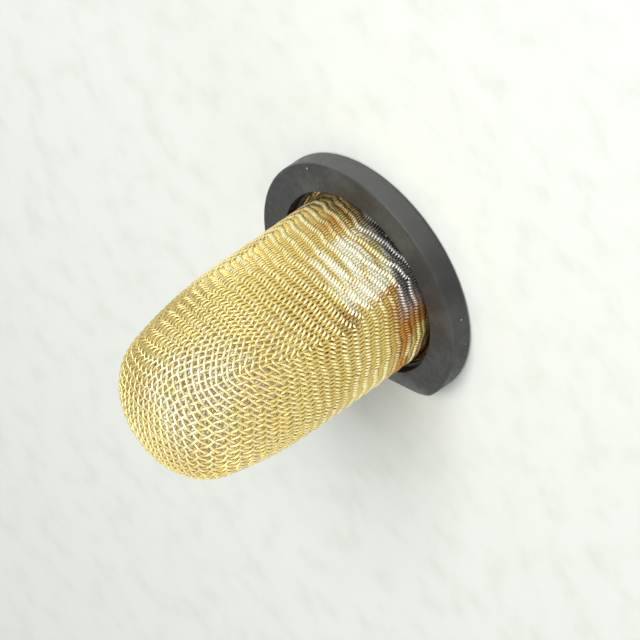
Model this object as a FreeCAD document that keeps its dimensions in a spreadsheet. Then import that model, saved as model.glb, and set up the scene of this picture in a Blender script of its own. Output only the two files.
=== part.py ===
import FreeCAD, Part
import Sketcher
import math
import os

# Oil pump strainer, in millimetres. A cup deep-drawn from plain-woven brass wire cloth keeps its
# flange in a groove in the bore of a moulded rubber ring. The ring's back face lies on z = 0, the
# common axis is Z and the dome of the cup points up. The rows of wire run along X and along Y.

SIZES = (
    ("cloth_thickness", 0.34, "two crossing wires, one over the other"),
    ("cup_wall_radius", 5.6, "outside of the cup's straight wall"),
    ("straight_wall", 8.16, "height of the straight wall above its foot"),
    ("dome_height", 9.6, "from the top of the straight wall to the apex"),
    ("shoulder_radius", 29.5, "long arc that leans the wall inwards"),
    ("corner_radius", 3.3, "arc between the shoulder and the crown"),
    ("crown_excess", 2.2, "how much larger the crown's radius is than the wall's"),
    ("foot_bevel", 0.25, "outside turn between the wall and the flange"),
    ("flange_grip", 1.1, "how far the groove reaches behind the lip"),
    ("seat_clearance", 0.02, "between the flange and the groove"),
    ("lip_clearance", 0.05, "between the cup's foot and the lip"),
    ("lip_thickness", 0.19, "rubber lip that holds the flange down"),
    ("lip_step", 0.2, "from the lip's edge out to the front bore"),
    ("back_step", 0.1, "from the lip's edge out to the back bore"),
    ("back_land", 0.25, "rubber behind the groove"),
    ("front_rim_height", 0.8, "from the lip up to the front face"),
    ("groove_wall", 1.0, "rubber between the groove and the outside"),
    ("front_edge_bevel", 0.08, "outer edge of the front face"),
    ("back_edge_bevel", 0.12, "outer edge of the back face"),
    ("relief_inset", 1.2, "from the lip's edge in to the line where the relief starts"),
    ("relief_rim_height", 0.346, "height of the rim that the relief leaves"),
    ("relief_bend_radius", 5.0, "bend between the front face and the relief"),
    ("wall_ridges", 7, "rows of wire crowns up the straight wall, the last one at its top"),
    ("shoulder_ridges", 6, "rows of wire crowns along the shoulder"),
    ("corner_ridges", 3, "rows of wire crowns around the corner"),
    ("crown_ridges", 3, "rows of wire crowns over the crown, the last one at the apex"),
    ("ridge_height", 0.12, "how far a ridge stands out of the valleys beside it"),
    ("ridge_spread", 0.2, "half the width of a ridge at its foot"),
    ("gap_rows", 10, "valleys with gaps through the cloth, from the foot up"),
    ("gaps_per_row", 7, "gaps around each valley"),
    ("gap_width", 1.2, "size of a gap around the wall"),
    ("gap_height", 0.35, "size of a gap along the wall"),
)

# What follows from the sizes above. Radii are measured from the axis, heights from the back face and
# angles of the dome's arcs from straight up.
WORKED_OUT = (
    ("flange_top", "sizes.back_land + sizes.cloth_thickness"),
    ("groove_top", "flange_top + sizes.seat_clearance"),
    ("lip_top", "groove_top + sizes.lip_thickness"),
    ("ring_front", "lip_top + sizes.front_rim_height"),
    ("wall_inside", "sizes.cup_wall_radius - sizes.cloth_thickness"),
    ("foot_out", "sizes.cup_wall_radius + sizes.foot_bevel"),
    ("foot_up", "flange_top + sizes.foot_bevel"),
    ("foot_offset", "sizes.cloth_thickness * (sqrt(2) - 1)"),
    ("lip_bore", "foot_out + sizes.lip_clearance"),
    ("front_bore", "lip_bore + sizes.lip_step"),
    ("back_bore", "lip_bore + sizes.back_step"),
    ("groove_radius", "lip_bore + sizes.flange_grip"),
    ("flange_radius", "groove_radius - sizes.seat_clearance"),
    ("ring_radius", "groove_radius + sizes.groove_wall"),
    ("relief_start", "lip_bore - sizes.relief_inset"),
    ("relief_fall", "(ring_front - sizes.relief_rim_height) / (ring_radius - relief_start)"),
    ("relief_length", "sqrt(1 + relief_fall ^ 2)"),
    ("relief_tangent", "sizes.relief_bend_radius * (relief_length - 1) / relief_fall"),
    ("wall_top", "foot_up + sizes.straight_wall"),
    ("apex", "wall_top + sizes.dome_height"),
    ("crown_radius", "sizes.cup_wall_radius + sizes.crown_excess"),
    ("crown_centre_up", "apex - crown_radius"),
    ("shoulder_centre_in", "sizes.shoulder_radius - sizes.cup_wall_radius"),
    ("crown_rise", "crown_centre_up - wall_top"),
    ("centre_span", "sqrt(shoulder_centre_in ^ 2 + crown_rise ^ 2)"),
    ("shoulder_reach", "sizes.shoulder_radius - sizes.corner_radius"),
    ("crown_reach", "crown_radius - sizes.corner_radius"),
    ("span_along", "(shoulder_reach ^ 2 - crown_reach ^ 2 + centre_span ^ 2) / (2 * centre_span)"),
    ("span_aside", "sqrt(shoulder_reach ^ 2 - span_along ^ 2)"),
    ("corner_from_shoulder", "(span_along * shoulder_centre_in - span_aside * crown_rise) / centre_span"),
    ("corner_above_wall", "(span_along * crown_rise + span_aside * shoulder_centre_in) / centre_span"),
    ("corner_centre_out", "corner_from_shoulder - shoulder_centre_in"),
    ("corner_above_crown", "corner_above_wall - crown_rise"),
    ("shoulder_end_inside", "(sizes.shoulder_radius - sizes.cloth_thickness) / shoulder_reach"),
    ("crown_end_inside", "(crown_radius - sizes.cloth_thickness) / crown_reach"),
    ("shoulder_end_angle", "atan2(corner_from_shoulder; corner_above_wall)"),
    ("crown_end_angle", "atan2(corner_centre_out; corner_above_crown)"),
    ("valley_floor", "sizes.cup_wall_radius - sizes.ridge_height"),
    ("ridge_pitch", "sizes.straight_wall / sizes.wall_ridges"),
    ("first_ridge_up", "foot_up + ridge_pitch"),
    ("first_gap_up", "foot_up + ridge_pitch / 2"),
)

doc = FreeCAD.newDocument("oil_pump_strainer")


def fill_sheet(name, rows):
    """Keep named values in a sheet, each beside a note of what it is."""
    sheet = doc.addObject("Spreadsheet::Sheet", name)
    for number, (alias, content, meaning) in enumerate(rows, 1):
        sheet.set(f"A{number}", meaning)
        sheet.set(f"B{number}", content)
        sheet.setAlias(f"B{number}", alias)
    doc.recompute()
    return sheet


fill_sheet("sizes", [(alias, str(value), meaning) for alias, value, meaning in SIZES])
worked = fill_sheet("worked", [(alias, "=" + formula, alias) for alias, formula in WORKED_OUT])


def value_of(expression):
    return float(worked.evalExpression(expression))


def add_body(name):
    body = doc.addObject("PartDesign::Body", name)
    body.Label = name
    return body


def origin_feature(body, role):
    for feature in body.Origin.OriginFeatures:
        if feature.Role == role:
            return feature
    raise ValueError(f"{body.Name} has no {role}")


def arc_through(start, end, radius, side):
    """An arc of less than half a turn; side 1 puts its centre left of the way from start to end."""
    chord = end - start
    middle = (start + end) * 0.5
    across = FreeCAD.Vector(-chord.y, chord.x, 0).normalize()
    rise = math.sqrt(max(radius ** 2 - (chord.Length / 2) ** 2, 0))
    centre = middle + across * (side * rise)
    crest = centre - across * (side * radius)
    return Part.Arc(start, crest, end)


def draw_outline(body, name, plane, corners):
    """Sketch a closed outline. Each corner gives its two places as expressions, and a corner with a
    third and fourth value bends the edge that leaves it: the arc's radius and the centre's side."""
    sketch = body.newObject("Sketcher::SketchObject", name)
    sketch.AttachmentSupport = [(origin_feature(body, plane), "")]
    sketch.MapMode = "FlatFace"
    places = [FreeCAD.Vector(value_of(corner[0]), value_of(corner[1]), 0) for corner in corners]
    count = len(corners)
    for index, corner in enumerate(corners):
        start = places[index]
        end = places[(index + 1) % count]
        if len(corner) == 4:
            sketch.addGeometry(arc_through(start, end, value_of(corner[2]), corner[3]))
        else:
            sketch.addGeometry(Part.LineSegment(start, end))
    # Arcs run anticlockwise, so one with its centre on the right is entered at its end.
    entry = [2 if len(corner) == 4 and corner[3] < 0 else 1 for corner in corners]
    for index, corner in enumerate(corners):
        after = (index + 1) % count
        sketch.addConstraint(Sketcher.Constraint("Coincident", index, 3 - entry[index], after, entry[after]))
        hold(sketch, "DistanceX", index, entry[index], f"out_{index}", corner[0])
        hold(sketch, "DistanceY", index, entry[index], f"up_{index}", corner[1])
        if len(corner) == 4:
            number = sketch.addConstraint(Sketcher.Constraint("Radius", index, value_of(corner[2])))
            sketch.renameConstraint(number, f"bend_{index}")
            sketch.setExpression(f"Constraints.bend_{index}", corner[2])
    return sketch


def hold(sketch, kind, edge, point, name, expression):
    """Tie one place of a point to an expression, or to the sketch's own axis where it is 0."""
    if expression == "0":
        own_axis = -2 if kind == "DistanceX" else -1
        sketch.addConstraint(Sketcher.Constraint("PointOnObject", edge, point, own_axis))
        return
    number = sketch.addConstraint(Sketcher.Constraint(kind, edge, point, value_of(expression)))
    sketch.renameConstraint(number, name)
    sketch.setExpression(f"Constraints.{name}", expression)


def turn(body, kind, name, sketch):
    """Revolve a half section a full turn about the common axis: a Revolution adds, a Groove cuts."""
    feature = body.newObject(f"PartDesign::{kind}", name)
    feature.Profile = sketch
    feature.ReferenceAxis = (sketch, ["V_Axis"])
    feature.Angle = 360
    sketch.Visibility = False
    doc.recompute()
    return feature


def cut_away(body, before, name):
    """Make sure that the last cut took something off the body."""
    if body.Shape.Volume >= before - 1e-6:
        raise ValueError(f"{name} removed nothing")


# Moulded rubber ring: a flat washer with an inner groove for the cup's flange. Its front face falls
# away on one side, with a soft bend, down to a thin rim.
ring = add_body("sealing_ring")
ring_section = draw_outline(ring, "ring_section", "XZ_Plane", (
    ("worked.back_bore", "0"),
    ("worked.ring_radius - sizes.back_edge_bevel", "0"),
    ("worked.ring_radius", "sizes.back_edge_bevel"),
    ("worked.ring_radius", "worked.ring_front - sizes.front_edge_bevel"),
    ("worked.ring_radius - sizes.front_edge_bevel", "worked.ring_front"),
    ("worked.front_bore", "worked.ring_front"),
    ("worked.front_bore", "worked.lip_top"),
    ("worked.lip_bore", "worked.lip_top"),
    ("worked.lip_bore", "worked.groove_top"),
    ("worked.groove_radius", "worked.groove_top"),
    ("worked.groove_radius", "sizes.back_land"),
    ("worked.back_bore", "sizes.back_land"),
))
turn(ring, "Revolution", "moulded_ring", ring_section)

RELIEF_OVERRUN = 1.0
relief_out = f"worked.ring_radius + {RELIEF_OVERRUN}"
relief_section = draw_outline(ring, "relief_section", "XZ_Plane", (
    ("worked.relief_start - worked.relief_tangent", f"worked.ring_front + {RELIEF_OVERRUN}"),
    ("worked.relief_start - worked.relief_tangent", "worked.ring_front", "sizes.relief_bend_radius", -1),
    ("worked.relief_start + worked.relief_tangent / worked.relief_length",
     "worked.ring_front - worked.relief_tangent * worked.relief_fall / worked.relief_length"),
    (relief_out, f"sizes.relief_rim_height - {RELIEF_OVERRUN} * worked.relief_fall"),
    (relief_out, f"worked.ring_front + {RELIEF_OVERRUN}"),
))
ring_volume = ring.Shape.Volume
relief = ring.newObject("PartDesign::Pocket", "side_relief")
relief.Profile = relief_section
relief.Type = 0
relief.Midplane = True
relief.setExpression("Length", f"2 * ({relief_out})")
relief_section.Visibility = False
doc.recompute()
cut_away(ring, ring_volume, "side_relief")

# The relief lies midway between two rows of wire.
RELIEF_BEARING = -45
ring.Placement = FreeCAD.Placement(FreeCAD.Vector(), FreeCAD.Rotation(FreeCAD.Vector(0, 0, 1), RELIEF_BEARING))


def ridged_arc(centre_out, centre_up, radius, start, end, ridges):
    """Corners along an arc of the dome: a valley and then a ridge, as often as ridges says."""
    corners = []
    steps = 2 * round(value_of(ridges))
    for step in range(1, steps + 1):
        angle = f"({start} + ({end} - {start}) * {step} / {steps})"
        reach = f"({radius} - sizes.ridge_height)" if step % 2 else radius
        corners.append((f"{centre_out} + {reach} * sin({angle})", f"{centre_up} + {reach} * cos({angle})"))
    return corners


# Cup: one disc of wire cloth drawn deep, with a straight wall, a long shoulder, a round crown and a
# flat flange at its mouth. Rows of wire crowns ring the dome outside. Inside, the shoulder, corner and
# crown are simplified to three cones.
cup = add_body("wire_mesh_cup")
shoulder = ridged_arc("-worked.shoulder_centre_in", "worked.wall_top", "sizes.shoulder_radius",
                      "90 deg", "worked.shoulder_end_angle", "sizes.shoulder_ridges")
corner = ridged_arc("worked.corner_centre_out", "worked.wall_top + worked.corner_above_wall",
                    "sizes.corner_radius", "worked.shoulder_end_angle", "worked.crown_end_angle",
                    "sizes.corner_ridges")
crown = ridged_arc("0", "worked.crown_centre_up", "worked.crown_radius",
                   "worked.crown_end_angle", "0 deg", "sizes.crown_ridges")
cup_section = draw_outline(cup, "cup_section", "XZ_Plane", (
    ("worked.flange_radius", "sizes.back_land"),
    ("worked.flange_radius", "worked.flange_top"),
    ("worked.foot_out", "worked.flange_top"),
    ("worked.valley_floor", "worked.foot_up + sizes.ridge_spread"),
    ("worked.valley_floor", "worked.wall_top - sizes.ridge_spread"),
    ("sizes.cup_wall_radius", "worked.wall_top"),
    *shoulder,
    *corner,
    *crown[:-1],
    ("0", "worked.apex"),
    ("0", "worked.apex - sizes.cloth_thickness"),
    ("worked.corner_centre_out * worked.crown_end_inside",
     "worked.crown_centre_up + worked.corner_above_crown * worked.crown_end_inside"),
    ("worked.corner_from_shoulder * worked.shoulder_end_inside - worked.shoulder_centre_in",
     "worked.wall_top + worked.corner_above_wall * worked.shoulder_end_inside"),
    ("worked.wall_inside", "worked.wall_top"),
    ("worked.wall_inside", "worked.foot_up - worked.foot_offset"),
    ("worked.foot_out - worked.foot_offset", "sizes.back_land"),
))
turn(cup, "Revolution", "drawn_cup", cup_section)

# Rows of wire crowns ring the straight wall too, with flat valleys between them.
ridge_section = draw_outline(cup, "ridge_section", "XZ_Plane", (
    ("sizes.cup_wall_radius", "worked.first_ridge_up"),
    ("worked.valley_floor - sizes.ridge_height", "worked.first_ridge_up + 2 * sizes.ridge_spread"),
    ("worked.valley_floor - sizes.ridge_height", "worked.first_ridge_up - 2 * sizes.ridge_spread"),
))
first_ridge = turn(cup, "Revolution", "first_ridge", ridge_section)

ridges = cup.newObject("PartDesign::LinearPattern", "ridges")
ridges.Originals = [first_ridge]
ridges.Direction = (ridge_section, ["V_Axis"])
ridges.setExpression("Length", "(sizes.wall_ridges - 2) * worked.ridge_pitch")
ridges.setExpression("Occurrences", "sizes.wall_ridges - 1")
cup.Tip = ridges
doc.recompute()

# Gaps through the cloth stand in the valleys, row above row, up the wall and the shoulder.
gap_outline = draw_outline(cup, "gap_outline", "YZ_Plane", (
    ("-sizes.gap_width / 2", "worked.first_gap_up - sizes.gap_height / 2"),
    ("sizes.gap_width / 2", "worked.first_gap_up - sizes.gap_height / 2"),
    ("sizes.gap_width / 2", "worked.first_gap_up + sizes.gap_height / 2"),
    ("-sizes.gap_width / 2", "worked.first_gap_up + sizes.gap_height / 2"),
))
gap_outline.setExpression("AttachmentOffset.Base.z", "worked.wall_inside - 3 * sizes.cloth_thickness")
ridged_volume = cup.Shape.Volume
first_gap = cup.newObject("PartDesign::Pocket", "first_gap")
first_gap.Profile = gap_outline
first_gap.Type = 0
first_gap.Reversed = True
first_gap.setExpression("Length", "5 * sizes.cloth_thickness")
gap_outline.Visibility = False
cup.Tip = first_gap
doc.recompute()
cut_away(cup, ridged_volume, "first_gap")

gaps = cup.newObject("PartDesign::MultiTransform", "gaps")
gaps.Originals = [first_gap]
cup.Tip = gaps
gap_rows = cup.newObject("PartDesign::LinearPattern", "gap_rows")
gap_rows.Direction = (gap_outline, ["V_Axis"])
gap_rows.setExpression("Length", "(sizes.gap_rows - 1) * worked.ridge_pitch")
gap_rows.setExpression("Occurrences", "sizes.gap_rows")
gap_circle = cup.newObject("PartDesign::PolarPattern", "gap_circle")
gap_circle.Axis = (origin_feature(cup, "Z_Axis"), [""])
gap_circle.Angle = 360
gap_circle.setExpression("Occurrences", "sizes.gaps_per_row")
gaps.Transformations = [gap_rows, gap_circle]
cup.Tip = gaps

doc.recompute()

for item in doc.Objects:
    if "Invalid" in item.State or "Error" in item.State:
        raise ValueError(f"{item.Name} did not build: {item.State}")

pieces = (ring, cup)
for piece in pieces:
    if piece.Shape.isNull() or not piece.Shape.isValid():
        raise ValueError(f"{piece.Label} has no valid shape")
    if len(piece.Shape.Solids) != 1:
        raise ValueError(f"{piece.Label} is not one solid")

os.makedirs("parts", exist_ok=True)
for piece in pieces:
    piece.Shape.exportStep(f"parts/{piece.Label}.step")
    print(f"{piece.Label}: {piece.Shape.Volume:.3f} cubic millimetres")
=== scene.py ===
import bpy
import math
import numpy as np
from mathutils import Matrix, Vector


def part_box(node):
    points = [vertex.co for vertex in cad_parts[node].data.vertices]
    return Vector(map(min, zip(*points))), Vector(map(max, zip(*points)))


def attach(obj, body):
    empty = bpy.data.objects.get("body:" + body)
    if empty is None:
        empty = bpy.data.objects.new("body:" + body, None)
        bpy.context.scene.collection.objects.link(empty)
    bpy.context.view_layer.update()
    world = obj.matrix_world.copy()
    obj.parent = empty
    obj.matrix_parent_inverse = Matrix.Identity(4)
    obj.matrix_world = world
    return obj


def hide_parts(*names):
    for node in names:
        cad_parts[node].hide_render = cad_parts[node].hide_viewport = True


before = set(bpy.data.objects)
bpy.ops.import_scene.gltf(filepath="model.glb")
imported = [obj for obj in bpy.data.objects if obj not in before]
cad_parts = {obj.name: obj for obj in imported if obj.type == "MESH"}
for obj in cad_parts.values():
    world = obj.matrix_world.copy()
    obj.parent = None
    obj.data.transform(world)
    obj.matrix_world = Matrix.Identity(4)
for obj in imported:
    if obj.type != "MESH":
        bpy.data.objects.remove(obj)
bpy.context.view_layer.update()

# Sealing ring: a flat washer moulded in black rubber. A lip in its bore holds the cup's flange down in
# a groove, and the front face falls away on one side, with a soft bend, to a thin rim.
MM = 0.001
RING_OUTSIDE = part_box("sealing_ring")[1].x / MM
RING_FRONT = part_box("sealing_ring")[1].z / MM
FRONT_BORE = 6.1
LIP_BORE = 5.9
BACK_BORE = 6.0
GROOVE_REACH = 6.8
LIP_TOP = 0.8
GROOVE_TOP = 0.61
GROOVE_FLOOR = 0.25
OUTER_FRONT_EDGE = 0.2
OUTER_BACK_EDGE = 0.3
BORE_EDGE = 0.06
INNER_EDGE = 0.05
RELIEF_BEARING = math.radians(-45)
RELIEF_START = 4.3
RELIEF_FALL = 0.36
RELIEF_BEND = 2.0
RIM_ROLL = 0.25
RIM_ROLL_WIDTH = 1.0
RIM_LEAST = 0.26
RIM_EASE = 0.1
RING_STEPS = 360


def front_height(radius, bearing):
    """Height of the front face: level, bending down into the relief, and easing off at its thin rim."""
    toward = radius * np.cos(bearing - RELIEF_BEARING)
    slope = math.atan(RELIEF_FALL)
    bend_start = RELIEF_START - RELIEF_BEND * math.tan(slope / 2)
    bend_reach = RELIEF_BEND * math.sin(slope)
    into_bend = np.clip(toward - bend_start, 0, bend_reach)
    past_bend = np.clip(toward - bend_start - bend_reach, 0, None)
    bent = RING_FRONT - RELIEF_BEND + np.sqrt(RELIEF_BEND ** 2 - into_bend ** 2)
    fallen = bent - RELIEF_FALL * past_bend
    depth = np.clip((RING_FRONT - fallen) / (RING_FRONT / 2), 0, 1)
    near_rim = np.clip(1 - (RING_OUTSIDE - radius) / RIM_ROLL_WIDTH, 0, 1)
    spare = fallen - RIM_ROLL * depth * near_rim ** 2 - RIM_LEAST
    eased = RIM_LEAST + (spare + np.sqrt(spare ** 2 + RIM_EASE ** 2)) / 2
    return np.minimum(eased, RING_FRONT)


def rounded(out, up, size, start, end, steps=5):
    """Points of a small rounded edge about a centre, from one angle to another, in degrees."""
    turn = np.radians(np.linspace(start, end, steps))
    return [(out + size * math.cos(a), up + size * math.sin(a)) for a in turn]


def between(start, end, steps):
    """Even stations of a straight stretch, without its two ends."""
    return np.linspace(start, end, steps)[1:-1]


def ring_section():
    """Half section: radius, height and share of the front face's fall, from the back's outer edge on."""
    front_edge_out = RING_OUTSIDE - OUTER_FRONT_EDGE
    front_edge_up = RING_FRONT - OUTER_FRONT_EDGE
    back_edge_out = RING_OUTSIDE - OUTER_BACK_EDGE
    bore_edge_out = FRONT_BORE + BORE_EDGE
    bore_edge_up = RING_FRONT - BORE_EDGE
    outer = rounded(back_edge_out, OUTER_BACK_EDGE, OUTER_BACK_EDGE, -90, 0)
    outer += [(RING_OUTSIDE, up) for up in between(OUTER_BACK_EDGE, front_edge_up, 12)]
    outer += rounded(front_edge_out, front_edge_up, OUTER_FRONT_EDGE, 0, 90, 7)
    outer += [(out, RING_FRONT) for out in between(front_edge_out, bore_edge_out, 20)]
    bore = rounded(bore_edge_out, bore_edge_up, BORE_EDGE, 90, 180)
    bore += [(FRONT_BORE, up) for up in np.linspace(bore_edge_up, LIP_TOP + INNER_EDGE, 6)[1:]]
    level = [(FRONT_BORE - INNER_EDGE, LIP_TOP)]
    level += rounded(LIP_BORE + INNER_EDGE, LIP_TOP - INNER_EDGE, INNER_EDGE, 90, 180)
    level += [(LIP_BORE, GROOVE_TOP), (GROOVE_REACH, GROOVE_TOP)]
    level += [(GROOVE_REACH, GROOVE_FLOOR), (BACK_BORE, GROOVE_FLOOR)]
    level += rounded(BACK_BORE + INNER_EDGE, INNER_EDGE, INNER_EDGE, 180, 270)
    level += [(out, 0.0) for out in between(BACK_BORE + INNER_EDGE, back_edge_out, 8)]
    bore_depth = RING_FRONT - LIP_TOP
    return ([(out, up, up / RING_FRONT) for out, up in outer]
            + [(out, up, (up - LIP_TOP) / bore_depth) for out, up in bore]
            + [(out, up, 0) for out, up in level])


def ring_mesh():
    """The section turned about the axis, lowered where the front face falls away."""
    section = np.array(ring_section())
    turns = np.linspace(0, 2 * math.pi, RING_STEPS, endpoint=False)
    out, bearing = np.meshgrid(section[:, 0], turns)
    up = section[:, 1] - (RING_FRONT - front_height(out, bearing)) * section[:, 2]
    points = np.stack([out * np.cos(bearing), out * np.sin(bearing), up], -1).reshape(-1, 3)
    count = len(section)
    around, along = np.meshgrid(np.arange(RING_STEPS), np.arange(count), indexing="ij")
    after = (around + 1) % RING_STEPS
    beside = (along + 1) % count
    faces = np.stack([around * count + along, after * count + along,
                      after * count + beside, around * count + beside], -1).reshape(-1, 4)
    return points * MM, faces


def add_piece(name, points, faces, cad_node):
    """A smooth-shaded mesh that rides with the part and stands for one of its solids."""
    mesh = bpy.data.meshes.new(name)
    mesh.from_pydata(points.tolist(), [], faces.tolist())
    mesh.polygons.foreach_set("use_smooth", [True] * len(mesh.polygons))
    mesh.update()
    piece = bpy.data.objects.new(name, mesh)
    bpy.context.scene.collection.objects.link(piece)
    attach(piece, "root")
    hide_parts(cad_node)
    return piece


def add_socket(group, name, way, kind, value=None):
    """A named input or output of an effect."""
    socket = group.interface.new_socket(name=name, in_out=way, socket_type=kind)
    if value is not None:
        socket.default_value = value


def patch_group():
    """Uneven patches over a surface, 0 to 1: dust, wear and tarnish use it at their own sizes."""
    group = bpy.data.node_groups.new("uneven_patches", "ShaderNodeTree")
    add_socket(group, "Patches per metre", "INPUT", "NodeSocketFloat", 1000.0)
    add_socket(group, "Detail", "INPUT", "NodeSocketFloat", 4.0)
    add_socket(group, "Flattening", "INPUT", "NodeSocketVector", (1.0, 1.0, 1.0))
    add_socket(group, "Where it starts", "INPUT", "NodeSocketFloat", 0.4)
    add_socket(group, "Where it is full", "INPUT", "NodeSocketFloat", 0.7)
    add_socket(group, "Mask", "OUTPUT", "NodeSocketFloat")
    given = group.nodes.new("NodeGroupInput")
    result = group.nodes.new("NodeGroupOutput")
    place = group.nodes.new("ShaderNodeTexCoord")
    flatten = group.nodes.new("ShaderNodeVectorMath")
    flatten.operation = "MULTIPLY"
    noise = group.nodes.new("ShaderNodeTexNoise")
    span = group.nodes.new("ShaderNodeMapRange")
    span.interpolation_type = "SMOOTHSTEP"
    group.links.new(place.outputs["Object"], flatten.inputs[0])
    group.links.new(given.outputs["Flattening"], flatten.inputs[1])
    group.links.new(flatten.outputs["Vector"], noise.inputs["Vector"])
    group.links.new(given.outputs["Patches per metre"], noise.inputs["Scale"])
    group.links.new(given.outputs["Detail"], noise.inputs["Detail"])
    group.links.new(noise.outputs["Fac"], span.inputs["Value"])
    group.links.new(given.outputs["Where it starts"], span.inputs["From Min"])
    group.links.new(given.outputs["Where it is full"], span.inputs["From Max"])
    group.links.new(span.outputs["Result"], result.inputs["Mask"])
    return group


def speck_group():
    """Sparse round specks, 0 to 1, for settled dust and lint."""
    group = bpy.data.node_groups.new("dust_specks", "ShaderNodeTree")
    add_socket(group, "Specks per metre", "INPUT", "NodeSocketFloat", 1000.0)
    add_socket(group, "Speck size", "INPUT", "NodeSocketFloat", 0.05)
    add_socket(group, "Rarity", "INPUT", "NodeSocketFloat", 0.8)
    add_socket(group, "Mask", "OUTPUT", "NodeSocketFloat")
    given = group.nodes.new("NodeGroupInput")
    result = group.nodes.new("NodeGroupOutput")
    place = group.nodes.new("ShaderNodeTexCoord")
    cells = group.nodes.new("ShaderNodeTexVoronoi")
    near = group.nodes.new("ShaderNodeMath")
    near.operation = "LESS_THAN"
    rare = group.nodes.new("ShaderNodeMath")
    rare.operation = "GREATER_THAN"
    both = group.nodes.new("ShaderNodeMath")
    both.operation = "MULTIPLY"
    group.links.new(place.outputs["Object"], cells.inputs["Vector"])
    group.links.new(given.outputs["Specks per metre"], cells.inputs["Scale"])
    group.links.new(cells.outputs["Distance"], near.inputs[0])
    group.links.new(given.outputs["Speck size"], near.inputs[1])
    group.links.new(cells.outputs["Color"], rare.inputs[0])
    group.links.new(given.outputs["Rarity"], rare.inputs[1])
    group.links.new(near.outputs[0], both.inputs[0])
    group.links.new(rare.outputs[0], both.inputs[1])
    group.links.new(both.outputs[0], result.inputs["Mask"])
    return group


UNEVEN_PATCHES = patch_group()
DUST_SPECKS = speck_group()


def new_material(name):
    """A material, its node tree and its surface shader."""
    material = bpy.data.materials.new(name)
    material.use_nodes = True
    return material, material.node_tree, material.node_tree.nodes["Principled BSDF"]


def place_group(tree, group, **values):
    """Put an effect into a material with its own values, and give its mask."""
    node = tree.nodes.new("ShaderNodeGroup")
    node.node_tree = group
    for name, value in values.items():
        node.inputs[name.replace("_", " ")].default_value = value
    return node.outputs["Mask"]


def measure(tree, operation, against):
    """A place on the piece measured against a fixed vector: DOT_PRODUCT along it, DISTANCE from it."""
    place = tree.nodes.new("ShaderNodeTexCoord")
    gauge = tree.nodes.new("ShaderNodeVectorMath")
    gauge.operation = operation
    gauge.inputs[1].default_value = against
    tree.links.new(place.outputs["Object"], gauge.inputs[0])
    return gauge.outputs["Value"]


def from_axis(tree):
    """Distance of a place on the piece from the part's axis."""
    place = tree.nodes.new("ShaderNodeTexCoord")
    level = tree.nodes.new("ShaderNodeVectorMath")
    level.operation = "MULTIPLY"
    level.inputs[1].default_value = (1.0, 1.0, 0.0)
    reach = tree.nodes.new("ShaderNodeVectorMath")
    reach.operation = "LENGTH"
    tree.links.new(place.outputs["Object"], level.inputs[0])
    tree.links.new(level.outputs["Vector"], reach.inputs[0])
    return reach.outputs["Value"]


def ramp(tree, value, start, end):
    """A smooth step from 0 where the value is at its start to 1 at its end."""
    step = tree.nodes.new("ShaderNodeMapRange")
    step.interpolation_type = "SMOOTHSTEP"
    step.inputs["From Min"].default_value = start
    step.inputs["From Max"].default_value = end
    tree.links.new(value, step.inputs["Value"])
    return step.outputs["Result"]


def spread(tree, value, low, high, start=0.0, end=1.0):
    """A straight step of a value from low at the start to high at the end."""
    span = tree.nodes.new("ShaderNodeMapRange")
    span.inputs["From Min"].default_value = start
    span.inputs["From Max"].default_value = end
    span.inputs["To Min"].default_value = low
    span.inputs["To Max"].default_value = high
    tree.links.new(value, span.inputs["Value"])
    return span.outputs["Result"]


def fade(tree, length, places):
    """A smooth step of a length from 0 to 1 between two places in mm."""
    return ramp(tree, length, places[0] * MM, places[1] * MM)


def fade_along(tree, way, places):
    """A smooth step along a direction, between two places in mm."""
    return fade(tree, measure(tree, "DOT_PRODUCT", way), places)


def times(tree, mask, *others):
    """Product of a mask with other masks and numbers."""
    for factor in others:
        product = tree.nodes.new("ShaderNodeMath")
        product.operation = "MULTIPLY"
        tree.links.new(mask, product.inputs[0])
        if isinstance(factor, float):
            product.inputs[1].default_value = factor
        else:
            tree.links.new(factor, product.inputs[1])
        mask = product.outputs[0]
    return mask


def coat(tree, base, colour, mask, *shares):
    """Lay a colour over a base colour where the mask, times its shares, says so."""
    mix = tree.nodes.new("ShaderNodeMix")
    mix.data_type = "RGBA"
    tree.links.new(times(tree, mask, *shares), mix.inputs["Factor"])
    under, over = [socket for socket in mix.inputs if socket.type == "RGBA"]
    if isinstance(base, tuple):
        under.default_value = base
    else:
        tree.links.new(base, under)
    over.default_value = colour
    return [socket for socket in mix.outputs if socket.type == "RGBA"][0]


def roughen(tree, surface, height, strength, depth):
    """Fine relief on a surface."""
    relief = tree.nodes.new("ShaderNodeBump")
    relief.inputs["Strength"].default_value = strength
    relief.inputs["Distance"].default_value = depth
    tree.links.new(height, relief.inputs["Height"])
    tree.links.new(relief.outputs["Normal"], surface.inputs["Normal"])


RUBBER_BLACK = (0.027, 0.027, 0.028, 1)
RUBBER_BLOOM = (0.054, 0.054, 0.052, 1)
RUBBER_LIT_WALL_GREY = (0.105, 0.106, 0.102, 1)
LINT_WHITE = (0.55, 0.53, 0.5, 1)
ALONG_X = (1.0, 0.0, 0.0)
WALL_FROM_AXIS = (7.94, 8.0)
LIT_WALL_SIDE = (2.0, -6.5)


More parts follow.
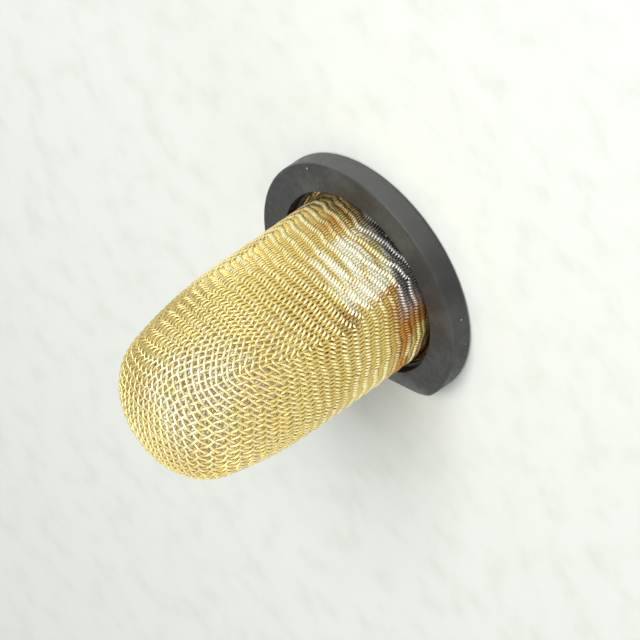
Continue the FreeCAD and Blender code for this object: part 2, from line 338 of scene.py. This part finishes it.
def black_rubber():
    """Moulded rubber with a grey bloom and specks of lint, and painted light: its wall is coated lighter grey
    on the lit side.
    """
    material, tree, surface = new_material("black_rubber")
    surface.inputs["Specular IOR Level"].default_value = 0.33
    bloom = place_group(tree, UNEVEN_PATCHES, Patches_per_metre=420.0, Detail=5.0,
                        Where_it_starts=0.42, Where_it_is_full=0.72)
    rub = place_group(tree, UNEVEN_PATCHES, Patches_per_metre=2600.0, Detail=3.0,
                      Where_it_starts=0.35, Where_it_is_full=0.65)
    grain = place_group(tree, UNEVEN_PATCHES, Patches_per_metre=14000.0, Detail=2.0,
                        Where_it_starts=0.3, Where_it_is_full=0.7)
    lint = place_group(tree, DUST_SPECKS, Specks_per_metre=1100.0, Speck_size=0.06, Rarity=0.62)
    on_wall = fade(tree, from_axis(tree), WALL_FROM_AXIS)
    lit_wall_side = fade_along(tree, ALONG_X, LIT_WALL_SIDE)
    colour = coat(tree, RUBBER_BLACK, RUBBER_BLOOM, bloom)
    # painted light: the outer wall is coated lighter grey on the side the light falls on
    colour = coat(tree, colour, RUBBER_LIT_WALL_GREY, on_wall, lit_wall_side, 0.8)
    colour = coat(tree, colour, LINT_WHITE, lint)
    tree.links.new(colour, surface.inputs["Base Color"])
    tree.links.new(spread(tree, rub, 0.42, 0.56), surface.inputs["Roughness"])
    roughen(tree, surface, grain, 0.12, 0.01 * MM)
    return material


ring_points, ring_faces = ring_mesh()
ring = add_piece("moulded_sealing_ring", ring_points, ring_faces, "sealing_ring")
ring.data.materials.append(black_rubber())

# Wire mesh cup: one disc of plain-woven brass wire cloth drawn over a punch. The square cells shear
# into long diamonds between four seams, until the wires lie side by side, and the cloth turns
# outwards at the mouth into the ring's groove.
CUP_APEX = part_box("wire_mesh_cup")[1].z / MM
WALL_OUTSIDE = 5.6
WALL_TOP = 9.0
SHOULDER_RADIUS = 29.5
CORNER_RADIUS = 3.3
CROWN_RADIUS = 7.8
FOOT_BEND = 0.25
FOOT_UP = 0.84
CLOTH_END = 6.35
LEAN = math.radians(1.05)
LEAN_BEARING = math.radians(21)
WIRE = 0.165
CRIMP = 0.145
HALF_CLOTH = (WIRE + CRIMP) / 2
WIRE_PITCH = 0.424
WIRES_FROM_APEX = 62
PROFILE_STEP = 0.005
STRAIGHT_STATIONS = 400


def arc_points(centre_out, centre_up, radius, start, end):
    """Stations along an arc of the profile; the angle is measured from straight up."""
    count = max(int(abs(end - start) * abs(radius) / (2 * PROFILE_STEP)), 2)
    turn = np.linspace(start, end, count)
    return np.stack([centre_out + radius * np.sin(turn), centre_up + radius * np.cos(turn)], -1)


def cup_profile():
    """Mid surface of the cloth from the apex to past the flange's edge: length, radius and height."""
    shoulder_in = SHOULDER_RADIUS - WALL_OUTSIDE
    crown_up = CUP_APEX - CROWN_RADIUS
    rise = crown_up - WALL_TOP
    span = math.hypot(shoulder_in, rise)
    long_side = SHOULDER_RADIUS - CORNER_RADIUS
    short_side = CROWN_RADIUS - CORNER_RADIUS
    along = (long_side ** 2 - short_side ** 2 + span ** 2) / (2 * span)
    aside = math.sqrt(long_side ** 2 - along ** 2)
    corner_out = (along * shoulder_in - aside * rise) / span - shoulder_in
    corner_up = WALL_TOP + (along * rise + aside * shoulder_in) / span
    crown_turn = math.atan2(corner_out, corner_up - crown_up)
    corner_turn = math.atan2(corner_out + shoulder_in, corner_up - WALL_TOP)
    wall = np.linspace(WALL_TOP, FOOT_UP, STRAIGHT_STATIONS)
    wall_out = np.full(STRAIGHT_STATIONS, WALL_OUTSIDE - HALF_CLOTH)
    foot_out = WALL_OUTSIDE + FOOT_BEND
    foot_radius = FOOT_BEND + HALF_CLOTH
    flange = np.linspace(foot_out, CLOTH_END + 4, STRAIGHT_STATIONS)
    flange_up = np.full(STRAIGHT_STATIONS, FOOT_UP - foot_radius)
    stations = np.concatenate([
        arc_points(0, crown_up, CROWN_RADIUS - HALF_CLOTH, 0, crown_turn),
        arc_points(corner_out, corner_up, CORNER_RADIUS - HALF_CLOTH, crown_turn, corner_turn)[1:],
        arc_points(-shoulder_in, WALL_TOP, SHOULDER_RADIUS - HALF_CLOTH, corner_turn, math.pi / 2)[1:],
        np.stack([wall_out, wall], -1)[1:],
        arc_points(foot_out, FOOT_UP, foot_radius, -math.pi / 2, -math.pi)[1:],
        np.stack([flange, flange_up], -1)[1:],
    ])
    steps = np.hypot(*np.diff(stations, axis=0).T)
    length = np.concatenate([[0], np.cumsum(steps)])
    even = np.arange(0, length[-1], PROFILE_STEP)
    return even, np.interp(even, length, stations[:, 0]), np.interp(even, length, stations[:, 1])


# The drawn net: rows of crossings that reach further down at the seams, and what the punch disturbed.
DRAWING_ROWS = (5, 17)
CROWN_ROWS = 16
ROW_BOW = 1.04
CROWN_BOW = 0.23
SEAM_LAG = 1.25
FLAT_SIDE_LAG = 0.35
DOME_ARCH = 2.5
ARCH_EASING_ROWS = (30, 44)
DATUM_UP = 2.0
SEAM_DRIFT_LENGTHS = (0, 5, 17)
SEAM_DRIFT = np.radians((0, -5, 13))
CROWN_SHEAR = 0.18
CROWN_SHEAR_LENGTHS = (10, 4)
CROWN_STRETCH_BEARING = math.radians(148)
WAVE_LENGTHS = (0, 4)
WAVES_ALONG = ((0.07, 3, 0.55, 0.6), (0.05, 7, -0.9, 0.0))
WAVES_ASIDE = ((0.05, 4, 0.8, 0.0), (0.04, 2, -1.3, 2.0))
RIPPLE_LENGTHS = (7, 12)
RIPPLES = ((0.055, 15, 0.7, 0.0), (0.03, 27, -1.1, 1.0))
SCATTER_ALONG = 0.012
SCATTER_ASIDE = 0.01
CORNER_SCATTER = 2
CORNER_LENGTH = 9
CORNER_SPREAD = 4
LEAST_RADIUS = 0.5
LENGTHS, PROFILE_OUT, PROFILE_UP = cup_profile()
BELOW_WALL = PROFILE_UP < FOOT_UP
CLOTH_LENGTH = float(np.interp(CLOTH_END, PROFILE_OUT[BELOW_WALL], LENGTHS[BELOW_WALL]))
DATUM_LENGTH = float(np.interp(-DATUM_UP, -PROFILE_UP, LENGTHS))
random_hand = np.random.default_rng(7)


def grow(values, places):
    """Share from 0 to 1 of the way between two places."""
    start, end = places
    return np.clip((values - start) / (end - start), 0, 1)


def row_lengths():
    """Length from the apex to each row of crossings midway between two seams, and how much further down
    it lies at a seam. A row is the crossings the same count of wires from the apex. The more of them share
    the cup's round, the narrower and longer their cells, while along a seam one wire runs straight down."""
    middle = [0.0]
    for row in range(1, 2 * WIRES_FROM_APEX + 1):
        bow = ROW_BOW + CROWN_BOW * max(1 - row / CROWN_ROWS, 0)
        quarter_round = math.pi / 2 * np.interp(middle[-1] + WIRE_PITCH / 2, LENGTHS, PROFILE_OUT)
        width = min(bow * quarter_round / row, WIRE_PITCH * math.sqrt(2))
        middle.append(middle[-1] + math.sqrt(WIRE_PITCH ** 2 - (width / 2) ** 2))
    middle = np.array(middle)
    free_lag = np.arange(len(middle)) * WIRE_PITCH - middle
    return middle, SEAM_LAG * np.tanh(free_lag / SEAM_LAG)


def drawn_length(row, off_middle, flatter_side):
    """Length from the apex to the crossings of the drawn rows, which arch between the seams."""
    middle, lag = row_lengths()
    held_back = np.where(flatter_side, FLAT_SIDE_LAG, 1.0)
    arch = DOME_ARCH - grow(row, ARCH_EASING_ROWS)
    return middle[row] + lag[row] * (1 - held_back * (1 - off_middle ** arch))


def bearing_about(warp, weft, share, drawn):
    """Bearing of a crossing: as on the flat cloth near the apex, and evenly spaced along a drawn row."""
    quarter = (1 - drawn) * np.arctan2(share, 1 - share) + drawn * share * math.pi / 2
    around = np.arctan2(np.sin(quarter) * np.sign(weft), np.cos(quarter) * np.sign(warp))
    around = np.where(weft == 0, np.where(warp < 0, math.pi, 0.0), around)
    return np.where(warp == 0, np.sign(weft) * math.pi / 2, around)


def waves(parts, around, far):
    """Sum of waves, each given by its height, lobes about the axis, turn per mm of length and start."""
    total = 0
    for height, lobes, per_mm, start in parts:
        total = total + height * np.sin(lobes * around + per_mm * far + start)
    return total


def disturb(far, around):
    """Waves and scatter that the punch leaves in the rows, and the drift of the seams along the wall."""
    drift = random_hand.normal(0, 1, far.shape)
    sway = random_hand.normal(0, 1, far.shape)
    depth = grow(far, WAVE_LENGTHS)
    unruly = 1 + CORNER_SCATTER * np.exp(-((far - CORNER_LENGTH) / CORNER_SPREAD) ** 2)
    out = np.maximum(np.interp(far, LENGTHS, PROFILE_OUT), LEAST_RADIUS)
    along = waves(WAVES_ALONG, around, far) + grow(far, RIPPLE_LENGTHS) * waves(RIPPLES, around, far)
    aside = waves(WAVES_ASIDE, around, far) + SCATTER_ASIDE * unruly * sway
    far = far + depth * (along + SCATTER_ALONG * unruly * drift)
    around = around + depth * aside / out
    return far, around + np.interp(DATUM_LENGTH - far, SEAM_DRIFT_LENGTHS, SEAM_DRIFT)


def lay_cloth():
    """Length from the apex and bearing of every crossing, and which of them are in the cloth: flat and
    square at the apex, sheared a little across the crown, and drawn into rows on the wall."""
    steps = np.arange(-WIRES_FROM_APEX, WIRES_FROM_APEX + 1)
    warp, weft = np.meshgrid(steps, steps, indexing="ij")
    row = abs(warp) + abs(weft)
    share = abs(weft) / np.maximum(row, 1)
    off_middle = abs(2 * share - 1)
    drawn = grow(row, DRAWING_ROWS)
    drawn = drawn * drawn * (3 - 2 * drawn)
    flat = row * WIRE_PITCH * np.sqrt((1 + off_middle ** 2) / 2)
    far = (1 - drawn) * flat + drawn * drawn_length(row, off_middle, (warp > 0) & (weft > 0))
    far, around = disturb(far, bearing_about(warp, weft, share, drawn))
    shear = CROWN_SHEAR * grow(far, CROWN_SHEAR_LENGTHS)
    from_stretch = 2 * (around - CROWN_STRETCH_BEARING)
    far = far * (1 + shear * np.cos(from_stretch))
    around = around - shear * np.sin(from_stretch)
    return far, around, (row <= WIRES_FROM_APEX) & (far < CLOTH_LENGTH)


def place_crossings(far, around):
    """Points of the crossings on the leaning cup, and the cloth's outward normals there."""
    out = np.interp(far, LENGTHS, PROFILE_OUT)
    up = np.interp(far, LENGTHS, PROFILE_UP)
    points = np.stack([out * np.cos(around) + up * math.tan(LEAN) * math.cos(LEAN_BEARING),
                       out * np.sin(around) + up * math.tan(LEAN) * math.sin(LEAN_BEARING), up], -1)
    station = (far / PROFILE_STEP).astype(int).clip(0, len(LENGTHS) - 1)
    out_slope = np.gradient(PROFILE_OUT, LENGTHS)[station]
    up_slope = np.gradient(PROFILE_UP, LENGTHS)[station]
    return points, np.stack([-up_slope * np.cos(around), -up_slope * np.sin(around), out_slope], -1)


# The wires: each a bent tube that passes over and under the wires it crosses.
WIRE_SIDES = 6
STEPS_PER_CROSSING = 4
LEAST_CROSSINGS = 4
WARP_SWELL = 0.36
SWELL_LENGTHS = (-1.5, 0, 9, 13)
SWELL_SHARES = (0, 1, 1, 0)
node_length, node_bearing, node_used = lay_cloth()
node_points, node_normals = place_crossings(node_length, node_bearing)
node_swell = WARP_SWELL * np.interp(DATUM_LENGTH - node_length, SWELL_LENGTHS, SWELL_SHARES)


def follow(values, share):
    """Smooth curve through a run of values, at a share of the way from each to the next."""
    before = np.concatenate([2 * values[:1] - values[1:2], values[:-2]])
    here = values[:-1]
    there = values[1:]
    beyond = np.concatenate([values[2:], 2 * values[-1:] - values[-2:-1]])
    straight = (there - before) * share
    squared = (2 * before - 5 * here + 4 * there - beyond) * share ** 2
    cubed = (3 * here - before - 3 * there + beyond) * share ** 3
    return 0.5 * (2 * here + straight + squared + cubed)


def unit(vectors):
    """The same directions, all of length 1."""
    return vectors / np.linalg.norm(vectors, axis=-1, keepdims=True)


def bend_wire(run, normals, over):
    """One wire's skin, a ring of points at each station, and how near to the cup's outside each lies."""
    shares = np.arange(STEPS_PER_CROSSING) / STEPS_PER_CROSSING
    middle = np.stack([follow(run, share) for share in shares], 1).reshape(-1, 3)
    upright = [normals[:-1] * (1 - share) + normals[1:] * share for share in shares]
    upright = np.stack(upright, 1).reshape(-1, 3)
    height = np.stack([over[:-1] * math.cos(math.pi * share) for share in shares], 1).reshape(-1)
    middle = np.concatenate([middle, run[-1:]])
    upright = unit(np.concatenate([upright, normals[-1:]]))
    height = np.concatenate([height, over[-1:]])
    centre = middle + upright * (height * CRIMP / 2)[:, None]
    ahead = unit(np.gradient(centre, axis=0))
    side = unit(np.cross(ahead, upright))
    rise = np.cross(side, ahead)
    turn = np.arange(WIRE_SIDES) * 2 * math.pi / WIRE_SIDES
    about = np.cos(turn)[:, None] * rise[:, None] + np.sin(turn)[:, None] * side[:, None]
    crown = (height[:, None] + np.cos(turn)) / 4 + 0.5
    return centre[:, None] + WIRE / 2 * about, crown


def wire_faces(stations, start):
    """Faces of one wire's tube, with both cut ends closed."""
    station, corner = np.meshgrid(np.arange(stations - 1), np.arange(WIRE_SIDES), indexing="ij")
    after = (corner + 1) % WIRE_SIDES
    near = station * WIRE_SIDES
    beyond = near + WIRE_SIDES
    sides = np.stack([near + corner, near + after, beyond + after, beyond + corner], -1).reshape(-1, 4)
    end = (stations - 1) * WIRE_SIDES
    first_cap = [[3, 2, 1, 0], [5, 4, 3, 0]]
    last_cap = [[end, end + 1, end + 2, end + 3], [end, end + 3, end + 4, end + 5]]
    return np.concatenate([sides, first_cap, last_cap]) + start


def weave(name, family, chosen):
    """Gather the chosen wires of one family, warp or weft, into one piece."""
    skins, crowns, faces = [], [], []
    start = 0
    sign = 1 if family == "warp" else -1
    steps = np.arange(-WIRES_FROM_APEX, WIRES_FROM_APEX + 1)
    for index in chosen:
        place = index + WIRES_FROM_APEX
        line = (slice(None), place) if family == "warp" else (place, slice(None))
        held = np.flatnonzero(node_used[line])
        if len(held) < LEAST_CROSSINGS:
            continue
        run = slice(held[0], held[-1] + 1)
        over = sign * np.where((steps[run] + index) % 2 == 0, 1.0, -1.0)
        over = over * (1 + sign * node_swell[line][run])
        skin, crown = bend_wire(node_points[line][run], node_normals[line][run], over)
        faces.append(wire_faces(len(skin), start))
        skins.append(skin.reshape(-1, 3))
        crowns.append(crown.reshape(-1))
        start += len(skin) * WIRE_SIDES
    points = np.concatenate(skins) * MM
    piece = add_piece(name, points, np.concatenate(faces), "wire_mesh_cup")
    crown = piece.data.attributes.new("crown", "FLOAT", "POINT")
    crown.data.foreach_set("value", np.concatenate(crowns).astype(np.float32))
    spool = piece.data.attributes.new("weft", "FLOAT", "POINT")
    spool.data.foreach_set("value", np.full(start, float(family == "weft"), dtype=np.float32))
    return piece


# Brass: pale warp and a weft painted deeper as shade, tarnished in patches, with oil and dirt, and painted
# light and shade near the ring.
BRASS_PALE = (0.99, 0.89, 0.51, 1)
BRASS_WEFT_SHADED = (0.78, 0.62, 0.21, 1)
BRASS_DOME = (0.76, 0.62, 0.29, 1)
BRASS_RUBBED = (0.97, 0.9, 0.68, 1)
BRASS_DEEP = (0.88, 0.73, 0.29, 1)
BRASS_DIM_SIDE_SHADE = (0.58, 0.47, 0.2, 1)
BRASS_SHADE = (0.64, 0.48, 0.16, 1)
BRASS_INSIDE_LIT = (0.97, 0.89, 0.64, 1)
BRASS_BRIGHT_PATCH = (0.97, 0.94, 0.8, 1)
BRASS_PAINTED_HIGHLIGHT = (0.95, 0.92, 0.88, 1)
OIL_AND_SHADE_AMBER = (0.5, 0.2, 0.025, 1)
DARK_CELLS_SHADE_BROWN = (0.36, 0.2, 0.06, 1)
DIRT_AND_SHADE_BLACK = (0.02, 0.018, 0.016, 1)
ALONG_Y = (0.0, 1.0, 0.0)
ALONG_Z = (0.0, 0.0, 1.0)


def facing(degrees):
    """Level direction at a bearing about the axis."""
    return Vector((math.cos(math.radians(degrees)), math.sin(math.radians(degrees)), 0))


def fade_about(tree, spot, places):
    """A round patch about a spot, which fades between two distances from it in mm."""
    return fade(tree, measure(tree, "DISTANCE", spot), places)


def vertex_value(tree, name):
    """A value that the mesh carries at each of its points."""
    node = tree.nodes.new("ShaderNodeAttribute")
    node.attribute_name = name
    return node.outputs["Fac"]


DOME_HEIGHTS = (9.0, 13.0)
RUBBED_SPOT = Vector((-1.2, 3.0, 16.6)) * MM
RUBBED_REACH = (4.4, 1.2)
SHADE_SIDE_WAY = facing(215)
SHADE_SIDE_PLACES = (-0.5, 3.0)
SHADED_HEIGHTS = (14.0, 8.0)
BETWEEN_ROWS = (0.98, 0.74)
OUTER_HALF = (0.3, 0.5)
INNER_HALF = (0.5, 0.3)


def woven_brass(tree):
    """Colour of the cloth before its stains: two families of wire, the dome and tarnish, with painted shade
    on the weft, on one side of the dome and between rows, and painted light on the wires' inner sides.
    """
    crown = vertex_value(tree, "crown")
    dome = fade_along(tree, ALONG_Z, DOME_HEIGHTS)
    rubbed = fade_about(tree, RUBBED_SPOT, RUBBED_REACH)
    tarnish = place_group(tree, UNEVEN_PATCHES, Patches_per_metre=300.0, Detail=4.0,
                          Flattening=(1.0, 1.0, 3.0), Where_it_starts=0.46, Where_it_is_full=0.6)
    side_shade = fade_along(tree, SHADE_SIDE_WAY, SHADE_SIDE_PLACES)
    sunk = times(tree, ramp(tree, crown, *BETWEEN_ROWS), ramp(tree, crown, *OUTER_HALF))
    shade = spread(tree, fade_along(tree, ALONG_Z, SHADED_HEIGHTS), 0.1, 0.85)
    # painted shade: the weft is coated deeper than the warp, as if it caught less light
    colour = coat(tree, BRASS_PALE, BRASS_WEFT_SHADED, vertex_value(tree, "weft"), 0.85)
    colour = coat(tree, colour, BRASS_DOME, dome, 0.65)
    colour = coat(tree, colour, BRASS_RUBBED, rubbed, 0.65)
    colour = coat(tree, colour, BRASS_DEEP, tarnish, 0.6)
    # painted shade: the dome's side away from the light is coated darker and duller
    colour = coat(tree, colour, BRASS_DIM_SIDE_SHADE, side_shade, dome, 0.85)
    colour = coat(tree, colour, BRASS_SHADE, sunk, shade)
    # painted light: the wires' inner sides, seen through the gaps, are coated paler so the cup's inside looks
    # lit
    return coat(tree, colour, BRASS_INSIDE_LIT, ramp(tree, crown, *INNER_HALF), 0.8)


STAIN_AND_SHADE_HEIGHTS = (4.7, 2.8)
BRIGHT_SIDE_WAY = facing(114)
STAIN_AND_SHADE_SIDE = (5.3, 4.4)
FAINTER_SIDE = (-4.5, -5.1)
BRIGHT_PATCH_WAY = facing(113)
BRIGHT_PATCH_SIDE = (5.0, 5.25)
BRIGHT_PATCH_HEIGHTS = (6.6, 6.0)
SEAM_EDGES = ((-0.35, -0.1), (0.45, 0.2))
SEAM_SIDE = (0.0, 1.0)
DARK_CELLS_SPOT = Vector((0.1, 5.45, 6.5)) * MM
DARK_CELLS_REACH = (1.3, 0.3)


def stains_and_painted_light(tree, colour):
    """Amber near the ring, partly oil stain and partly painted shade; a pale patch of painted light beside a
    seam; and amber oil with painted shade, and a spot of painted shade between rows, in the seam itself.
    """
    low_down = fade_along(tree, ALONG_Z, STAIN_AND_SHADE_HEIGHTS)
    stain_and_shade = times(tree, fade_along(tree, BRIGHT_SIDE_WAY, STAIN_AND_SHADE_SIDE), low_down)
    pools = place_group(tree, UNEVEN_PATCHES, Patches_per_metre=420.0, Detail=3.0,
                        Flattening=(1.0, 1.0, 2.0), Where_it_starts=0.35, Where_it_is_full=0.49)
    fainter = spread(tree, fade_along(tree, ALONG_X, FAINTER_SIDE), 0.9, 0.25)
    bright_patch = times(tree, fade_along(tree, BRIGHT_PATCH_WAY, BRIGHT_PATCH_SIDE), fade_along(tree, ALONG_Z, BRIGHT_PATCH_HEIGHTS))
    streaks = place_group(tree, UNEVEN_PATCHES, Patches_per_metre=350.0, Detail=2.0,
                          Flattening=(1.0, 1.0, 5.0), Where_it_starts=0.62, Where_it_is_full=0.5)
    on_seam = times(tree, *[fade_along(tree, ALONG_X, edge) for edge in SEAM_EDGES])
    this_side = fade_along(tree, ALONG_Y, SEAM_SIDE)
    dark_cells = fade_about(tree, DARK_CELLS_SPOT, DARK_CELLS_REACH)
    between_rows = ramp(tree, vertex_value(tree, "crown"), *BETWEEN_ROWS)
    # oil stain and painted shade: amber in patches low down, away from the bright side
    colour = coat(tree, colour, OIL_AND_SHADE_AMBER, stain_and_shade, pools, fainter)
    # painted light: a pale patch low on the near wall, where the bright floor shows through the mouth
    colour = coat(tree, colour, BRASS_BRIGHT_PATCH, bright_patch, streaks, 0.8)
    # oil and painted shade: amber along the seam, low on this side
    colour = coat(tree, colour, OIL_AND_SHADE_AMBER, on_seam, this_side, low_down, 0.7)
    # painted shade: brown between the rows about one spot, for cells that look dark
    return coat(tree, colour, DARK_CELLS_SHADE_BROWN, dark_cells, between_rows, 0.8)


RING_WAY = (-0.3, 0.0, 1.0)
HIGHLIT_HEIGHTS = (2.9, 2.3)
HIGHLIT_SIDE = (3.6, 4.9)
DIRT_AND_SHADE_HEIGHTS = (2.7, 1.9)
DIRT_AND_SHADE_SIDE = (-1.0, -3.0)
BORE_SHADE_HEIGHTS = (1.5, 1.0)
BORE_SHADE_SIDE = (1.0, 3.5)
FLANKS = (0.96, 0.84)


def shade_and_soil_at_ring(tree, colour):
    """By the ring: wires painted silvery as highlights with painted black shade between them on one side,
    dirt and painted shade in the gaps, and painted shade in the bore.
    """
    flank = ramp(tree, vertex_value(tree, "crown"), *FLANKS)
    highlit = times(tree, fade_along(tree, RING_WAY, HIGHLIT_HEIGHTS), fade_along(tree, BRIGHT_SIDE_WAY, HIGHLIT_SIDE))
    dirt_and_shade = times(tree, fade_along(tree, ALONG_Z, DIRT_AND_SHADE_HEIGHTS), fade_along(tree, ALONG_X, DIRT_AND_SHADE_SIDE))
    shaded_bore = times(tree, fade_along(tree, ALONG_Z, BORE_SHADE_HEIGHTS), fade_along(tree, ALONG_X, BORE_SHADE_SIDE))
    # painted highlight: the wire tops near the ring are coated silvery white
    colour = coat(tree, colour, BRASS_PAINTED_HIGHLIGHT, highlit, 0.9)
    # painted shade: the wire flanks between those highlights are coated black
    colour = coat(tree, colour, DIRT_AND_SHADE_BLACK, highlit, flank, 0.85)
    # dirt and painted shade: the wire flanks low on the far side are coated darker
    colour = coat(tree, colour, DIRT_AND_SHADE_BLACK, dirt_and_shade, flank, 0.6)
    # painted shade: the cloth down in the ring's bore is coated nearly black
    return coat(tree, colour, DIRT_AND_SHADE_BLACK, shaded_bore, 0.8)


def brass_wire():
    """Drawn brass wire with oil stains, dirt, and painted light and shade near the ring, and faint marks of
    the die.
    """
    material, tree, surface = new_material("brass_wire")
    surface.inputs["Metallic"].default_value = 0.85
    colour = shade_and_soil_at_ring(tree, stains_and_painted_light(tree, woven_brass(tree)))
    tree.links.new(colour, surface.inputs["Base Color"])
    worn = place_group(tree, UNEVEN_PATCHES, Patches_per_metre=5200.0, Detail=2.0,
                       Where_it_starts=0.3, Where_it_is_full=0.7)
    tree.links.new(spread(tree, worn, 0.36, 0.5), surface.inputs["Roughness"])
    roughen(tree, surface, worn, 0.15, 0.004 * MM)
    return material


brass = brass_wire()
HALVES = (("left", range(-WIRES_FROM_APEX, 0)), ("right", range(0, WIRES_FROM_APEX + 1)))
for family in ("warp", "weft"):
    for half, chosen in HALVES:
        wires = weave(f"{family}_wires_{half}", family, chosen)
        wires.data.materials.append(brass)

# Floor: a plain pale sheet of paper that the part stands on, far wider than the picture. Under the
# cup's mouth it shows as bright as in the open, as behind a strainer that lies on its side.
FLOOR_HALF = 0.6
FLOOR_COLOUR = (0.858, 0.882, 0.828, 1)
FLOOR_FIBRE = (0.76, 0.8, 0.73, 1)
FLOOR_SPECK = (0.6, 0.6, 0.52, 1)
OPEN_GLOW = 0.14
MOUTH_GLOW = 1.0
MOUTH_EDGE = (6.5, 6.0)


def seen_directly(tree):
    """1 for what the camera sees, straight or by way of metal or a gap, and 0 for light on surfaces."""
    path = tree.nodes.new("ShaderNodeLightPath")
    seen = path.outputs["Is Camera Ray"]
    for way in ("Is Glossy Ray", "Is Transmission Ray"):
        either = tree.nodes.new("ShaderNodeMath")
        either.operation = "MAXIMUM"
        tree.links.new(seen, either.inputs[0])
        tree.links.new(path.outputs[way], either.inputs[1])
        seen = either.outputs[0]
    return seen


def pale_paper():
    """Cloudy paper with a few specks; a share of its own white keeps it pale where it is seen."""
    material, tree, surface = new_material("pale_paper")
    surface.inputs["Roughness"].default_value = 0.9
    surface.inputs["Specular IOR Level"].default_value = 0.1
    cloudy = place_group(tree, UNEVEN_PATCHES, Patches_per_metre=420.0, Detail=9.0,
                         Where_it_starts=0.4, Where_it_is_full=0.85)
    specks = place_group(tree, DUST_SPECKS, Specks_per_metre=420.0, Speck_size=0.07, Rarity=0.9)
    colour = coat(tree, FLOOR_COLOUR, FLOOR_FIBRE, cloudy)
    colour = coat(tree, colour, FLOOR_SPECK, specks)
    tree.links.new(colour, surface.inputs["Base Color"])
    glow = tree.nodes.new("ShaderNodeEmission")
    glow.inputs["Color"].default_value = FLOOR_COLOUR
    glow.inputs["Strength"].default_value = 1.0
    # painted light: under the cup's mouth the floor glows at full strength, where the cup would shade it
    share = spread(tree, from_axis(tree), OPEN_GLOW, MOUTH_GLOW, MOUTH_EDGE[0] * MM, MOUTH_EDGE[1] * MM)
    blend = tree.nodes.new("ShaderNodeMixShader")
    tree.links.new(times(tree, seen_directly(tree), share), blend.inputs["Fac"])
    tree.links.new(surface.outputs["BSDF"], blend.inputs[1])
    tree.links.new(glow.outputs["Emission"], blend.inputs[2])
    tree.links.new(blend.outputs["Shader"], tree.nodes["Material Output"].inputs["Surface"])
    return material


corners = [(x * FLOOR_HALF, y * FLOOR_HALF, 0) for x, y in ((-1, -1), (1, -1), (1, 1), (-1, 1))]
sheet = bpy.data.meshes.new("floor")
sheet.from_pydata(corners, [], [(0, 1, 2, 3)])
floor = bpy.data.objects.new("floor", sheet)
bpy.context.scene.collection.objects.link(floor)
floor.data.materials.append(pale_paper())

# Light: a broad softbox on one side, a weaker one low across from it, and an even pale surround that
# shows white where it is seen or mirrored, and lights the part more gently.
LIGHT_AIM = Vector((0, 0, 8 * MM))
SURROUND = (0.97, 1.0, 0.98, 1)
SURROUND_LIGHT = 0.32
SURROUND_SEEN = 1.0


def softbox(name, bearing, elevation, distance, size, power):
    """A square lamp aimed at the part's middle; angles in degrees, distance and size in metres."""
    lamp = bpy.data.lights.new(name, "AREA")
    lamp.shape = "SQUARE"
    lamp.size = size
    lamp.energy = power
    box = bpy.data.objects.new(name, lamp)
    above = math.radians(elevation)
    way = facing(bearing) * math.cos(above) + Vector((0, 0, math.sin(above)))
    box.location = LIGHT_AIM + way * distance
    box.rotation_euler = way.to_track_quat("Z", "Y").to_euler()
    bpy.context.scene.collection.objects.link(box)


def pale_surround():
    """Even surround, with its own strength for light and for what is seen."""
    world = bpy.data.worlds.new("pale_surround")
    world.use_nodes = True
    tree = world.node_tree
    lit = tree.nodes["Background"]
    seen = tree.nodes.new("ShaderNodeBackground")
    for background, strength in ((lit, SURROUND_LIGHT), (seen, SURROUND_SEEN)):
        background.inputs["Color"].default_value = SURROUND
        background.inputs["Strength"].default_value = strength
    blend = tree.nodes.new("ShaderNodeMixShader")
    tree.links.new(seen_directly(tree), blend.inputs["Fac"])
    tree.links.new(lit.outputs["Background"], blend.inputs[1])
    tree.links.new(seen.outputs["Background"], blend.inputs[2])
    tree.links.new(blend.outputs["Shader"], tree.nodes["World Output"].inputs["Surface"])
    return world


softbox("key_softbox", bearing=130, elevation=50, distance=0.3, size=0.18, power=0.96)
softbox("fill_softbox", bearing=15, elevation=12, distance=0.35, size=0.2, power=0.26)
bpy.context.scene.world = pale_surround()

# Camera: it looks down at the part from the dome's side, rolled so that the axis lies as in the photo,
# and stands far off, so that near and far places show at nearly one size.
CAMERA_DISTANCE = 300 * MM
MM_PER_PIXEL = 0.05926
PICTURE = 640
SENSOR = 36.0
AXIS_TO_VIEW = math.radians(59.9)
AXIS_SLANT = math.radians(34.1)
FACING_BEARING = math.radians(15)
RING_CENTRE_PIXEL = (375.6, 270.1)


def camera_axis(x, y, z):
    """A direction of the picture, turned about the part's axis to the camera's bearing."""
    return Matrix.Rotation(FACING_BEARING, 3, "Z") @ Vector((x, y, z))


right = camera_axis(math.sin(AXIS_SLANT), math.cos(AXIS_SLANT) * math.cos(AXIS_TO_VIEW),
                    -math.cos(AXIS_SLANT) * math.sin(AXIS_TO_VIEW))
above = camera_axis(-math.cos(AXIS_SLANT), math.sin(AXIS_SLANT) * math.cos(AXIS_TO_VIEW),
                    -math.sin(AXIS_SLANT) * math.sin(AXIS_TO_VIEW))
behind = camera_axis(0, math.sin(AXIS_TO_VIEW), math.cos(AXIS_TO_VIEW))
lens = bpy.data.cameras.new("camera")
lens.sensor_width = SENSOR
lens.lens = CAMERA_DISTANCE / MM * SENSOR / (PICTURE * MM_PER_PIXEL)
lens.clip_start = 0.01
camera = bpy.data.objects.new("camera", lens)
bpy.context.scene.collection.objects.link(camera)
shift_right = (RING_CENTRE_PIXEL[0] - PICTURE / 2) * MM_PER_PIXEL * MM
shift_up = (PICTURE / 2 - RING_CENTRE_PIXEL[1]) * MM_PER_PIXEL * MM
spot = behind * CAMERA_DISTANCE - right * shift_right - above * shift_up
camera.matrix_world = Matrix.Translation(spot) @ Matrix((right, above, behind)).transposed().to_4x4()
bpy.context.scene.camera = camera
bpy.context.scene.view_settings.view_transform = "Standard"
